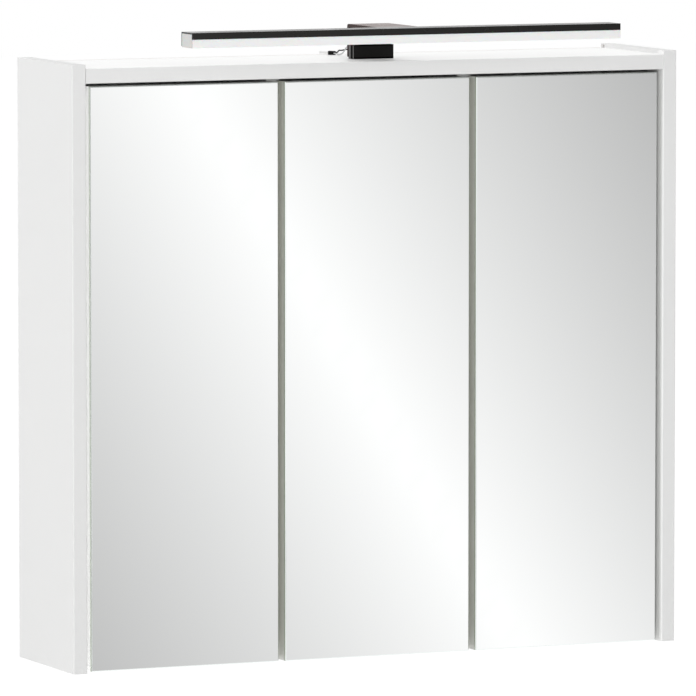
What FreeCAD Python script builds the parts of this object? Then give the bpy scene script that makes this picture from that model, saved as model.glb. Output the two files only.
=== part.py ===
import FreeCAD, Part
import math
import os
import re

import Sketcher

# Bathroom mirror cabinet: a white board carcass between two side panels, three mirror doors on
# concealed hinges, glass shelves, and an LED surface lamp on a bent arm on the top board.
# All sizes in millimetres. X runs across, Y from front to back, Z up. The origin is the centre of
# the footprint (cabinet and lamp overhang together), on the plane under the side panels' feet.

Vector = FreeCAD.Vector

sizes = {
    # carcass
    "cabinet_width": 700,
    "cabinet_height": 640,
    "cabinet_depth": 156,
    "board_thickness": 16,
    "side_rise": 4,  # side panels stand this far proud of the top and bottom boards
    "edge_radius": 1.6,  # rounded front edges of the side panels
    "rail_radius": 0.8,  # rounded front edges of the other boards
    "back_thickness": 3,
    "groove_play": 0.4,
    "groove_depth": 6,
    "groove_setback": 5,  # board left behind the groove
    # doors
    "door_recess": 3,  # mirror face behind the side panels' front edges
    "door_thickness": 16,
    "glass_thickness": 4,
    "glass_arris": 1,  # polished edge of the mirror
    "door_side_gap": 5.6,
    "door_middle_gap": 7.8,
    "door_top_gap": 3.4,
    "door_bottom_rise": 1.2,
    "front_clearance": 4.5,  # from the doors' backs to the inner boards
    # hinges
    "hinge_inset": 90,  # from the door's ends to the hinges
    "pivot_inset": 8.5,  # hinge axis from the door's edge
    "pivot_depth": 9.5,  # hinge axis in front of the door's back
    "pin_radius": 1.25,
    "knuckle_radius": 2.3,
    "bearing_gap": 0.05,  # running clearance of pin and knuckle
    "cup_radius": 17.5,
    "cup_edge": 4,  # door board left beside the cup
    "cup_depth": 13.3,
    "cup_wall": 1,
    "cup_floor": 0.8,
    "flange_thickness": 1.2,
    "flange_height": 60,
    "flange_width": 26,
    "cheek_thickness": 2,
    "cheek_depth": 6.5,
    "arm_width": 10,
    "arm_thickness": 3,
    "arm_clearance": 0.6,  # beside the arm between the cheeks
    "neck_offset": 12.3,  # from the hinge axis along the door to the arm's neck
    "cross_offset": 13.5,  # from the hinge axis back to the arm's cross run
    "arm_reach": 40,
    "plate_height": 8,
    "plate_line": 30,  # screw line of the mounting plate behind the inner boards' front
    "plate_wing": 2.5,
    "plate_wing_width": 14,
    "plate_wing_span": 44,
    "plate_rib_width": 14,
    "plate_rib_length": 26,
    "plate_screw_spacing": 32,
    "cup_screw_spacing": 45,
    "cup_screw_offset": 9.5,
    # screws
    "screw_gap": 0.05,
    "chip_screw_radius": 1.75,
    "chip_head_radius": 3.4,
    "chip_head_height": 1.8,
    "plate_screw_length": 13,
    "cup_screw_length": 12,
    "hanger_screw_length": 16,
    "machine_screw_radius": 2,
    "machine_head_radius": 3.2,
    "machine_head_height": 2,
    "arm_screw_length": 10,
    "foot_screw_length": 25,
    "bracket_screw_length": 12,
    "housing_screw_length": 5,
    "recess_width": 0.9,
    "recess_depth": 0.9,
    # joinery
    "cam_radius": 7.5,
    "cam_depth": 12.5,
    "cam_distance": 24,
    "cam_bolt_radius": 3,
    "cam_bolt_grip": 10,
    "joint_front": 20,  # first fitting behind the inner boards' front
    "joint_rear": 20,  # last fitting before the back panel
    "dowel_radius": 4,
    "dowel_length": 30,
    "dowel_grip": 11,
    # shelves
    "shelf_thickness": 5,
    "shelf_gap": 1,
    "shelf_setback": 12,
    "shelf_low": 215,
    "shelf_high": 415,
    "shelf_pin_radius": 2.5,
    "shelf_pin_grip": 7,
    "shelf_collar_radius": 3.5,
    "shelf_collar_length": 6,
    "shelf_pin_inset": 22,
    # buffers
    "buffer_width": 3,
    "buffer_height": 16,
    "buffer_inset": 34,
    "buffer_gap": 0.3,
    # hanging plates
    "hanger_inset": 30,
    "hanger_width": 24,
    "hanger_height": 60,
    "hanger_thickness": 2,
    "hanger_drop": 2,
    "hanger_screw_offset": 7,
    "keyhole_drop": 42,  # from the plate's top to the large hole
    "keyhole_radius": 5,
    "keyhole_slot_radius": 2.5,
    "keyhole_rise": 11,
    "keyhole_access_radius": 8,
    # lamp
    "lamp_length": 494,
    "lamp_offset": 14,  # lamp's middle beside the cabinet's middle
    "lamp_overhang": 46,
    "lamp_depth": 30,
    "lamp_height": 16,
    "lamp_rise": 17,  # from the side panels' tops to the lamp's underside
    "profile_wall": 1.6,
    "profile_lip": 7,
    "profile_tail": 1,  # diffuser shown below the back wall
    "diffuser_step": 0.3,
    "diffuser_wall": 2,
    "led_board_thickness": 1.6,
    "led_size": 3,
    "led_height": 0.8,
    "led_pitch": 24.5,
    "led_margin": 14,
    "foot_width": 47,
    "foot_depth": 13,
    "foot_height": 15,
    "foot_setback": 46.5,
    "foot_chamfer": 0.6,
    "bracket_thickness": 3.5,
    "bracket_bend": 3,
    "bracket_foot_gap": 2,
    "bracket_flange": 13,
    "bracket_screw_spacing": 34,
    "foot_screw_spacing": 26,
    # lead
    "grommet_radius": 2.4,
    "grommet_neck": 1.4,
    "grommet_length": 3,
    "grommet_rise": 9,  # above the top board
    "grommet_offset": 10,  # from the lamp's middle towards the left
    "lead_diameter": 1.5,
    "connector_start": 68,  # front end of the connector, behind the bracket's leg
    "connector_offset": 1.3,  # from the grommet towards the right
    "connector_turn": 30,
    "connector_length": 7,
    "connector_width": 4.6,
    "connector_height": 4.2,
    "tip_length": 12,
    "tip_width": 3.4,
    "tip_height": 2.4,
}

# The two wires of the lead, chosen by hand: from the grommet, over the top board, to the connector.
# Each point is measured from the grommet sideways, from the bracket's leg to the rear, and up from the
# top board.
lead_routes = {
    "lead_grey": [
        (-1.05, 3, 10.05), (-1.05, 8.5, 10.05), (-2.1, 17.5, 12.1), (-2.4, 27.3, 11), (-0.7, 36.5, 5.8),
        (0.4, 46.1, 2.2), (-0.1, 56.2, 0.9), (2.347, 63.986, 1.7), (0.347, 67.45, 1.7),
    ],
    "lead_black": [
        (1.05, 3, 7.95), (1.05, 9, 7.95), (1.1, 18.3, 8), (0.9, 28.7, 8), (0.9, 39.4, 7.3),
        (1.9, 49.2, 5.7), (2, 58.7, 5.6), (4.253, 65.086, 2.7), (2.253, 68.55, 2.7),
    ],
}

document = FreeCAD.newDocument("mirror_cabinet")
sheet = document.addObject("Spreadsheet::Sheet", "size")
for row, (alias, number) in enumerate(sizes.items(), start=1):
    sheet.set("A%d" % row, alias)
    sheet.set("B%d" % row, str(number))
    sheet.setAlias("B%d" % row, alias)
document.recompute()

nodes = []
drillings = {}  # board name -> the shapes cut out of it


def formula(text):
    """Puts the sheet's name before each of its aliases."""
    return re.sub(r"\b[a-z]+(?:_[a-z]+)+\b", lambda found: "size." + found.group(0), str(text))


def value(text):
    return float(sheet.evalExpression(formula(text)))


def bind(item, prop, text):
    item.setExpression(prop, formula(text))


def node(name, item):
    """Registers a finished sub-part under its name."""
    item.Label = name
    nodes.append(item)
    return item


def placed(item, x, y, z):
    bind(item, "Placement.Base.x", x)
    bind(item, "Placement.Base.y", y)
    bind(item, "Placement.Base.z", z)
    return item


def block(name, xs, ys, zs):
    """A box between two x, two y and two z, given in either order."""
    item = document.addObject("Part::Box", name)
    for prop, (start, end) in (("Length", xs), ("Width", ys), ("Height", zs)):
        bind(item, prop, "abs((%s) - (%s))" % (end, start))
    return placed(item, *["min(%s; %s)" % pair for pair in (xs, ys, zs)])


def rod(name, direction, x, y, z, radius, length):
    """A cylinder that starts at a point and runs along a direction."""
    item = document.addObject("Part::Cylinder", name)
    bind(item, "Radius", radius)
    bind(item, "Height", length)
    item.Placement = FreeCAD.Placement(Vector(), FreeCAD.Rotation(Vector(0, 0, 1), Vector(*direction)))
    return placed(item, x, y, z)


def fused(name, items):
    item = document.addObject("Part::MultiFuse", name)
    item.Shapes = items
    return item


def grouped(name, items):
    item = document.addObject("Part::Compound", name)
    item.Links = items
    return item


def carved(name, base, tools):
    item = document.addObject("Part::Cut", name)
    item.Base = base
    item.Tool = grouped(name + "_tools", tools)
    return item


def drill(board, *tools):
    drillings.setdefault(board, []).extend(tools)


planes = {"XY_Plane": 1, "XZ_Plane": -1, "YZ_Plane": 1}  # sign of each plane's normal


def outlineBody(name, plane, offset, points, length):
    """A body padded from a closed outline of (across, up) formulas, from an offset along the plane's axis."""
    body = document.addObject("PartDesign::Body", name)
    sketch = body.newObject("Sketcher::SketchObject", name + "_outline")
    origin_plane = [o for o in body.Origin.OriginFeatures if o.Role == plane][0]
    sketch.AttachmentSupport = [(origin_plane, "")]
    sketch.MapMode = "FlatFace"
    bind(sketch, "AttachmentOffset.Base.z", "%d * (%s)" % (planes[plane], offset))
    corners = [Vector(value(across), value(up), 0) for across, up in points]
    for i, corner in enumerate(corners):
        sketch.addGeometry(Part.LineSegment(corner, corners[(i + 1) % len(corners)]))
    for i in range(len(corners)):
        sketch.addConstraint(Sketcher.Constraint("Coincident", i, 2, (i + 1) % len(corners), 1))
    for i, (across, up) in enumerate(points):
        for kind, number, text in (("DistanceX", corners[i].x, across), ("DistanceY", corners[i].y, up)):
            index = sketch.addConstraint(Sketcher.Constraint(kind, i, 1, number))
            bind(sketch, "Constraints[%d]" % index, text)
    pad = body.newObject("PartDesign::Pad", name + "_pad")
    pad.Profile = sketch
    bind(pad, "Length", length)
    pad.Reversed = plane == "XZ_Plane"
    document.recompute()
    return body


def rectangle(low_across, low_up, high_across, high_up):
    return [(low_across, low_up), (high_across, low_up), (high_across, high_up), (low_across, high_up)]


def dressed(body, kind, prop, size, test):
    """Rounds or bevels the edges of the body that pass a test of their middle and direction."""
    pad = body.Tip
    names = []
    for i, edge in enumerate(pad.Shape.Edges, start=1):
        start, end = edge.firstVertex().Point, edge.lastVertex().Point
        if test((start + end) / 2, end - start):
            names.append("Edge%d" % i)
    feature = body.newObject("PartDesign::" + kind, body.Name + "_" + kind.lower())
    feature.Base = (pad, names)
    bind(feature, prop, size)
    document.recompute()
    return body


def near(a, b):
    return abs(a - b) < 1e-4


# Places that several pieces share.
front = "((lamp_overhang - cabinet_depth) / 2)"  # plane of the side panels' front edges
rear = "(%s + cabinet_depth)" % front
mirror_face = "(%s + door_recess)" % front
board_face = "(%s + glass_thickness)" % mirror_face
door_back = "(%s + door_thickness)" % board_face
inner_front = "(%s + front_clearance)" % door_back
groove_front = "(%s - groove_setback - back_thickness - groove_play)" % rear
back_rear = "(%s + back_thickness)" % groove_front
half_inside = "(cabinet_width / 2 - board_thickness)"
floor_bottom = "side_rise"
floor_top = "(side_rise + board_thickness)"
roof_top = "(cabinet_height - side_rise)"
roof_bottom = "(%s - board_thickness)" % roof_top
door_width = "((2 * %s - 2 * door_side_gap - 2 * door_middle_gap) / 3)" % half_inside
door_bottom = "door_bottom_rise"
door_top = "(%s - door_top_gap)" % roof_bottom
hinge_heights = ["(%s + hinge_inset)" % door_bottom, "(%s - hinge_inset)" % door_top]
divider_middle = "((%s + door_middle_gap) / 2)" % door_width

boards = {
    "side_left": ("-cabinet_width / 2", "-%s" % half_inside),
    "divider_left": (
        "-%s - board_thickness / 2" % divider_middle, "-%s + board_thickness / 2" % divider_middle),
    "divider_right": (
        "%s - board_thickness / 2" % divider_middle, "%s + board_thickness / 2" % divider_middle),
    "side_right": (half_inside, "cabinet_width / 2"),
}

# Each compartment lies between two of the boards.
compartments = {
    "left": ("side_left", "divider_left"),
    "middle": ("divider_left", "divider_right"),
    "right": ("divider_right", "side_right"),
}

# Each door: the board that carries it, its hinge edge, and the way it runs from there.
doors = {
    "left": {"board": "side_left", "edge": "(-%s + door_side_gap)" % half_inside, "way": 1},
    "middle": {"board": "divider_left", "edge": "(-%s / 2)" % door_width, "way": 1},
    "right": {"board": "side_right", "edge": "(%s - door_side_gap)" % half_inside, "way": -1},
}


def screw(name, direction, x, y, z, kind, length):
    """A cross-head screw: seat at a point, shank along the direction, head behind the seat."""
    shank = rod(name + "_shank", (0, 0, -1), "0", "0", "0", kind + "_screw_radius", length)
    radius, height = kind + "_head_radius", kind + "_head_height"
    head = rod(name + "_head", (0, 0, 1), "0", "0", "0", radius, height)
    depth = ("%s - recess_depth" % height, "%s + recess_depth" % height)
    thin = ("-recess_width / 2", "recess_width / 2")
    wide = ("-0.55 * %s" % radius, "0.55 * %s" % radius)
    item = carved(name, fused(name + "_blank", [shank, head]),
                  [block(name + "_recess_a", thin, wide, depth),
                   block(name + "_recess_b", wide, thin, depth)])
    item.Placement = FreeCAD.Placement(Vector(), FreeCAD.Rotation(Vector(0, 0, -1), Vector(*direction)))
    return placed(item, x, y, z)


def clearHole(name, direction, x, y, z, kind, length):
    """The hole that such a screw's shank passes through or bites into."""
    return rod(name, direction, x, y, z, kind + "_screw_radius + screw_gap", length)


# ---- joinery: cam housings and bolts at the corners, dowels between them and at the dividers ----

def joinery():
    housings, bolts, dowels = [], [], []
    rows = {"front": "%s + joint_front" % inner_front, "rear": "%s - joint_rear" % groove_front}
    middle_row = "(%s + joint_front + %s - joint_rear) / 2" % (inner_front, groove_front)
    levels = {
        "bottom_board": {"face": floor_top, "middle": "side_rise + board_thickness / 2", "inward": -1},
        "top_board": {"face": roof_bottom, "middle": "%s + board_thickness / 2" % roof_bottom, "inward": 1},
    }
    for board, level in levels.items():
        up = level["inward"]
        for side, way in (("left", -1), ("right", 1)):
            for row_name, row_y in rows.items():
                tag = "%s_%s_%s" % (board, side, row_name)
                cam_x = "%d * (%s - cam_distance)" % (way, half_inside)
                housing = (tag, (0, 0, up), cam_x, row_y, level["face"])
                housings.append(rod("cam_" + housing[0], *housing[1:], "cam_radius", "cam_depth"))
                drill(board, rod("cam_bore_" + housing[0], *housing[1:], "cam_radius + screw_gap",
                                 "cam_depth"))
                start = "%d * (%s + cam_bolt_grip)" % (way, half_inside)
                bolt = ((-way, 0, 0), start, row_y, level["middle"])
                bolts.append(rod("cam_bolt_" + tag, *bolt, "cam_bolt_radius",
                                 "cam_bolt_grip + cam_distance - cam_radius"))
                drill(board, rod("bolt_bore_" + tag, *bolt, "cam_bolt_radius + screw_gap",
                                 "cam_bolt_grip + cam_distance - cam_radius"))
                drill("side_" + side, rod("bolt_hole_" + tag, *bolt, "cam_bolt_radius + screw_gap",
                                          "cam_bolt_grip + 1"))
            tag = "%s_%s" % (board, side)
            start = "%d * (%s + dowel_grip)" % (way, half_inside)
            place = ((-way, 0, 0), start, middle_row, level["middle"])
            dowels.append(rod("dowel_" + tag, *place, "dowel_radius", "dowel_length"))
            drill(board, rod("dowel_bore_" + tag, *place, "dowel_radius + screw_gap", "dowel_length"))
            drill("side_" + side, rod("dowel_hole_" + tag, *place, "dowel_radius + screw_gap",
                                      "dowel_length"))
            for row_name, row_y in rows.items():
                tag = "%s_divider_%s_%s" % (board, side, row_name)
                foot = "%s + %d * dowel_grip" % (level["face"], up)
                place = ((0, 0, -up), "%d * %s" % (way, divider_middle), row_y, foot)
                dowels.append(rod("dowel_" + tag, *place, "dowel_radius", "dowel_length"))
                drill(board, rod("dowel_bore_" + tag, *place, "dowel_radius + screw_gap", "dowel_length"))
                drill("divider_" + side, rod("dowel_hole_" + tag, *place, "dowel_radius + screw_gap",
                                             "dowel_length"))
    node("cam_housings", grouped("cam_housings", housings))
    node("cam_bolts", grouped("cam_bolts", bolts))
    node("dowels", grouped("dowels", dowels))


# ---- glass shelves on four pins each ----

def shelves():
    pins = []
    rows = {
        "front": "%s + shelf_setback + shelf_pin_inset" % inner_front,
        "rear": "%s - shelf_gap - shelf_pin_inset" % groove_front,
    }
    for name, (low_board, high_board) in compartments.items():
        low_x, high_x = boards[low_board][1], boards[high_board][0]
        for level in ("low", "high"):
            height = "shelf_" + level
            glass = outlineBody(
                "shelf_%s_%s" % (name, level), "XY_Plane", height,
                rectangle("%s + shelf_gap" % low_x, "%s + shelf_setback" % inner_front,
                          "%s - shelf_gap" % high_x, "%s - shelf_gap" % groove_front),
                "shelf_thickness")
            node(glass.Name, dressed(glass, "Chamfer", "Size", "0.4",
                                     lambda middle, run: abs(run.x) > 50 and near(middle.y, value(
                                         "%s + shelf_setback" % inner_front))))
            for board, face, way in ((low_board, low_x, -1), (high_board, high_x, 1)):
                for row_name, row_y in rows.items():
                    tag = "%s_%s_%s_%s" % (name, level, board, row_name)
                    axis_z = "%s - shelf_collar_radius" % height
                    pin = rod("pin_" + tag, (way, 0, 0), face, row_y, axis_z, "shelf_pin_radius",
                              "shelf_pin_grip")
                    collar = rod("collar_" + tag, (-way, 0, 0), face, row_y, axis_z,
                                 "shelf_collar_radius", "shelf_collar_length")
                    pins.append(fused("shelf_pin_" + tag, [pin, collar]))
                    drill(board, rod("pin_hole_" + tag, (way, 0, 0), face, row_y, axis_z,
                                     "shelf_pin_radius + screw_gap", "shelf_pin_grip"))
    node("shelf_pins", grouped("shelf_pins", pins))


# ---- doors and their hinges ----

def doorSide(name):
    """The hinge edge, the way to the free edge, the hinge axis, and the face that carries the hinge."""
    door = doors[name]
    way = door["way"]
    axis_x = "(%s + %d * pivot_inset)" % (door["edge"], way)
    face = "(%s)" % boards[door["board"]][1 if way > 0 else 0]
    return door["edge"], way, axis_x, face


def mirror(name):
    edge, way, _, _ = doorSide(name)
    free = "%s + %d * %s" % (edge, way, door_width)
    low, high = (edge, free) if way > 0 else (free, edge)
    glass = outlineBody("mirror_" + name, "XZ_Plane", mirror_face,
                        rectangle(low, door_bottom, high, door_top), "glass_thickness")
    face_y = value(mirror_face)
    node(glass.Name, dressed(glass, "Chamfer", "Size", "glass_arris",
                             lambda middle, run: near(middle.y, face_y) and near(run.y, 0)))


def doorBoard(name):
    edge, way, _, _ = doorSide(name)
    free = "%s + %d * %s" % (edge, way, door_width)
    blank = block("door_%s_blank" % name, (edge, free), (board_face, door_back), (door_bottom, door_top))
    node("door_" + name, carved("door_" + name, blank, drillings["door_" + name]))


def hingeCup(name, tag, height):
    """The cup in the door's back: shell, flange, and two cheeks for the pin."""
    edge, way, axis_x, _ = doorSide(name)
    middle_x = "%s + %d * (cup_edge + cup_radius)" % (edge, way)
    lip = "%s + flange_thickness" % door_back
    floor = "%s - cup_depth + cup_floor" % door_back
    half_slot = "(arm_width / 2 + arm_clearance)"
    flange_start = "%s - %d * flange_width / 2" % (middle_x, way)
    flange_end = "%s + %d * flange_width / 2" % (middle_x, way)
    shell = rod(tag + "_shell", (0, -1, 0), middle_x, door_back, height, "cup_radius", "cup_depth")
    flange = block(tag + "_flange", (flange_start, flange_end), (door_back, lip),
                   ("%s - flange_height / 2" % height, "%s + flange_height / 2" % height))
    hollow = rod(tag + "_hollow", (0, -1, 0), middle_x, lip, height, "cup_radius - cup_wall",
                 "flange_thickness + cup_depth - cup_floor")
    pan = carved(tag + "_pan", fused(tag + "_pressing", [shell, flange]), [hollow])
    cheeks = []
    for end, sign in (("low", -1), ("high", 1)):
        cheeks.append(block(
            "%s_cheek_%s" % (tag, end),
            ("%s - %d * knuckle_radius" % (axis_x, way), "%s + %d * 4" % (axis_x, way)),
            (floor, "%s + cheek_depth" % floor),
            ("%s + %d * %s" % (height, sign, half_slot),
             "%s + %d * (%s + cheek_thickness)" % (height, sign, half_slot))))
    axis_y = "%s - pivot_depth" % door_back
    pin_place = ((0, 0, 1), axis_x, axis_y, "%s - %s - cheek_thickness" % (height, half_slot))
    pin_length = "2 * (%s + cheek_thickness)" % half_slot
    holes = [rod(tag + "_pin_hole", *pin_place, "pin_radius", pin_length)]
    screws = []
    for end, sign in (("low", -1), ("high", 1)):
        screw_tag = "%s_screw_%s" % (tag, end)
        screw_x = "%s + %d * cup_screw_offset" % (middle_x, way)
        screw_z = "%s + %d * cup_screw_spacing / 2" % (height, sign)
        seat = ((0, -1, 0), screw_x, lip, screw_z)
        screws.append(screw(screw_tag, *seat, "chip", "cup_screw_length"))
        holes.append(clearHole(screw_tag + "_hole", *seat, "chip", "cup_screw_length"))
        drill("door_" + name, clearHole(screw_tag + "_bore", *seat, "chip", "cup_screw_length"))
    drill("door_" + name,
          rod(tag + "_pocket", (0, -1, 0), middle_x, door_back, height, "cup_radius + screw_gap",
              "cup_depth"))
    cup = carved(tag + "_cup", fused(tag + "_body", [pan] + cheeks), holes)
    pin = rod(tag + "_pin", *pin_place, "pin_radius", pin_length)
    return cup, pin, screws


def hingeArm(name, tag, height):
    """The swan-neck arm: from the knuckle along the cup, back through its opening, across to the plate."""
    _, way, axis_x, face = doorSide(name)
    axis_y = "(%s - pivot_depth)" % door_back
    end = "%s + arm_reach" % inner_front
    run_front = "%s - arm_thickness / 2" % axis_y
    run_rear = "%s + arm_thickness / 2" % axis_y
    neck_near = "%s + %d * (neck_offset - arm_thickness / 2)" % (axis_x, way)
    neck_far = "%s + %d * (neck_offset + arm_thickness / 2)" % (axis_x, way)
    cross_front = "%s + cross_offset" % axis_y
    cross_rear = "%s + cross_offset + arm_thickness" % axis_y
    seat = "%s + %d * plate_height" % (face, way)
    top = "%s + %d * (plate_height + arm_thickness)" % (face, way)
    outline = [(axis_x, run_front), (neck_far, run_front), (neck_far, cross_rear), (top, cross_rear),
               (top, end), (seat, end), (seat, cross_front), (neck_near, cross_front),
               (neck_near, run_rear), (axis_x, run_rear)]
    foot = "%s - arm_width / 2" % height
    bar = outlineBody(tag + "_bar", "XY_Plane", foot, outline, "arm_width")
    knuckle = rod(tag + "_knuckle", (0, 0, 1), axis_x, axis_y, foot, "knuckle_radius", "arm_width")
    bore = rod(tag + "_bore", (0, 0, 1), axis_x, axis_y, foot, "pin_radius + bearing_gap", "arm_width")
    screw_y = "%s + plate_line + 5" % inner_front
    seat_place = ((-way, 0, 0), top, screw_y, height)
    hole = clearHole(tag + "_screw_hole", *seat_place, "machine", "arm_screw_length")
    arm = carved(tag + "_arm", fused(tag + "_forging", [bar, knuckle]), [bore, hole])
    return arm, screw(tag + "_screw", *seat_place, "machine", "arm_screw_length"), seat_place


def mountingPlate(name, tag, height, arm_seat):
    """The plate on the carcass: a wing with two screws and a rib that the arm lies on."""
    _, way, _, face = doorSide(name)
    line = "%s + plate_line" % inner_front
    wing_top = "%s + %d * plate_wing" % (face, way)
    wing = block(tag + "_wing", (face, wing_top),
                 ("%s - plate_wing_width / 2" % line, "%s + plate_wing_width / 2" % line),
                 ("%s - plate_wing_span / 2" % height, "%s + plate_wing_span / 2" % height))
    rib = block(tag + "_rib", (face, "%s + %d * plate_height" % (face, way)),
                ("%s + 8 - plate_rib_length" % line, "%s + 8" % line),
                ("%s - plate_rib_width / 2" % height, "%s + plate_rib_width / 2" % height))
    holes = [clearHole(tag + "_arm_screw_hole", *arm_seat, "machine", "arm_screw_length")]
    screws = []
    for end, sign in (("low", -1), ("high", 1)):
        screw_tag = "%s_plate_screw_%s" % (tag, end)
        seat = ((-way, 0, 0), wing_top, line, "%s + %d * plate_screw_spacing / 2" % (height, sign))
        screws.append(screw(screw_tag, *seat, "chip", "plate_screw_length"))
        holes.append(clearHole(screw_tag + "_hole", *seat, "chip", "plate_screw_length"))
        drill(doors[name]["board"], clearHole(screw_tag + "_bore", *seat, "chip", "plate_screw_length"))
    return carved(tag + "_plate", fused(tag + "_casting", [wing, rib]), holes), screws


def doorSets():
    arm_screws, plate_screws = [], []
    for name in doors:
        cups, pins, cup_screws, arms, plates = [], [], [], [], []
        for level, height in zip(("low", "high"), hinge_heights):
            tag = "hinge_%s_%s" % (name, level)
            cup, pin, screws = hingeCup(name, tag, height)
            cups.append(cup)
            pins.append(pin)
            cup_screws.extend(screws)
            arm, arm_screw, arm_seat = hingeArm(name, tag, height)
            arms.append(arm)
            arm_screws.append(arm_screw)
            plate, screws = mountingPlate(name, tag, height, arm_seat)
            plates.append(plate)
            plate_screws.extend(screws)
        mirror(name)
        doorBoard(name)
        for kind, items in (("hinge_cups_", cups), ("hinge_pins_", pins), ("cup_screws_", cup_screws),
                            ("hinge_arms_", arms), ("mounting_plates_", plates)):
            node(kind + name, grouped(kind + name, items))
    node("hinge_arm_screws", grouped("hinge_arm_screws", arm_screws))
    node("mounting_plate_screws", grouped("mounting_plate_screws", plate_screws))


def doorBuffers():
    """Soft pads on the dividers' front edges, two under each door's free edge."""
    pads = []
    for name, door in doors.items():
        free = "%s + %d * %s" % (door["edge"], door["way"], door_width)
        xs = ("%s - %d * (buffer_gap + buffer_width)" % (free, door["way"]),
              "%s - %d * buffer_gap" % (free, door["way"]))
        for level, low in (("low", "%s + buffer_inset" % door_bottom),
                           ("high", "%s - buffer_inset - buffer_height" % door_top)):
            pads.append(block("buffer_%s_%s" % (name, level), xs,
                              ("%s + buffer_gap" % door_back, inner_front),
                              (low, "%s + buffer_height" % low)))
    node("door_buffers", grouped("door_buffers", pads))


# ---- hanging plates with keyholes behind the back panel ----

def hangers():
    plates, screws = [], []
    plate_rear = "(%s + hanger_thickness)" % back_rear
    plate_top = "(%s - hanger_drop)" % roof_top
    hole_z = "(%s - keyhole_drop)" % plate_top
    for side, way in (("left", -1), ("right", 1)):
        tag = "hanger_" + side
        middle_x = "%d * (%s - hanger_inset)" % (way, half_inside)
        blank = block(tag + "_blank",
                      ("%s - hanger_width / 2" % middle_x, "%s + hanger_width / 2" % middle_x),
                      (back_rear, plate_rear), ("%s - hanger_height" % plate_top, plate_top))
        holes = [
            rod(tag + "_keyhole", (0, 1, 0), middle_x, back_rear, hole_z, "keyhole_radius",
                "hanger_thickness"),
            rod(tag + "_slot_end", (0, 1, 0), middle_x, back_rear, "%s + keyhole_rise" % hole_z,
                "keyhole_slot_radius", "hanger_thickness"),
            block(tag + "_slot",
                  ("%s - keyhole_slot_radius" % middle_x, "%s + keyhole_slot_radius" % middle_x),
                  (back_rear, plate_rear), (hole_z, "%s + keyhole_rise" % hole_z)),
        ]
        for end, sign in (("inner", -1), ("outer", 1)):
            screw_tag = "%s_screw_%s" % (tag, end)
            seat = ((0, -1, 0), "%s + %d * hanger_screw_offset" % (middle_x, sign), plate_rear,
                    "%s + board_thickness / 2" % roof_bottom)
            screws.append(screw(screw_tag, *seat, "chip", "hanger_screw_length"))
            holes.append(clearHole(screw_tag + "_hole", *seat, "chip", "hanger_screw_length"))
            for board in ("back_panel", "top_board"):
                drill(board, clearHole("%s_%s" % (screw_tag, board), *seat, "chip", "hanger_screw_length"))
        access_middle = "%s + keyhole_rise / 2" % hole_z
        drill("back_panel", rod(tag + "_access", (0, 1, 0), middle_x, groove_front, access_middle,
                                "keyhole_access_radius", "back_thickness"))
        plates.append(carved(tag, blank, holes))
    node("hanging_plates", grouped("hanging_plates", plates))
    node("hanging_screws", grouped("hanging_screws", screws))


# ---- lamp: black profile, diffuser, LED board, bent bracket and foot ----

lamp_front = "(%s - lamp_overhang)" % front
lamp_back = "(%s + lamp_depth)" % lamp_front
lamp_bottom = "(cabinet_height + lamp_rise)"
lamp_top = "(%s + lamp_height)" % lamp_bottom
lamp_start = "(lamp_offset - lamp_length / 2)"
roof_inside = "(%s - profile_wall)" % lamp_top
foot_front = "(%s + foot_setback)" % front
foot_back = "(%s + foot_depth)" % foot_front
leg_back = "(%s + bracket_thickness)" % foot_back
grommet_x = "(lamp_offset - grommet_offset)"


def lampBar():
    lip_bottom = "%s - profile_lip" % lamp_top
    wall_inside = "%s - profile_wall" % lamp_back
    tail = "%s + profile_tail" % lamp_bottom
    lip_inside = "%s + profile_wall" % lamp_front
    profile = [(lamp_front, lip_bottom), (lamp_front, lamp_top), (lamp_back, lamp_top), (lamp_back, tail),
               (wall_inside, tail), (wall_inside, roof_inside), (lip_inside, roof_inside),
               (lip_inside, lip_bottom)]
    housing = outlineBody("lamp_profile", "YZ_Plane", lamp_start, profile, "lamp_length")
    diffuser_front = "%s + diffuser_step" % lamp_front
    section = [(diffuser_front, lamp_bottom), (wall_inside, lamp_bottom), (wall_inside, roof_inside),
               (lip_inside, roof_inside), (lip_inside, lip_bottom), (diffuser_front, lip_bottom)]
    bar = outlineBody("diffuser_bar", "YZ_Plane", lamp_start, section, "lamp_length")
    xs = ("%s + diffuser_wall" % lamp_start, "%s + lamp_length - diffuser_wall" % lamp_start)
    ys = ("%s + diffuser_wall" % lip_inside, "%s - diffuser_wall" % wall_inside)
    cavity = block("diffuser_cavity", xs, ys, ("%s + diffuser_wall" % lamp_bottom, roof_inside))
    node("lamp_diffuser", carved("lamp_diffuser", bar, [cavity]))
    board_bottom = "%s - led_board_thickness" % roof_inside
    node("led_board", block("led_board", xs, ys, (board_bottom, roof_inside)))
    count = int(value("(lamp_length - 2 * led_margin) / led_pitch")) + 1
    middle_y = "(%s + %s) / 2" % ys
    chips = []
    for i in range(count):
        middle_x = "lamp_offset + (%d - %d / 2) * led_pitch" % (i, count - 1)
        chips.append(block("led_chip_%d" % i,
                           ("%s - led_size / 2" % middle_x, "%s + led_size / 2" % middle_x),
                           ("%s - led_size / 2" % middle_y, "%s + led_size / 2" % middle_y),
                           ("%s - led_height" % board_bottom, board_bottom)))
    node("led_chips", grouped("led_chips", chips))
    return housing


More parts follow.
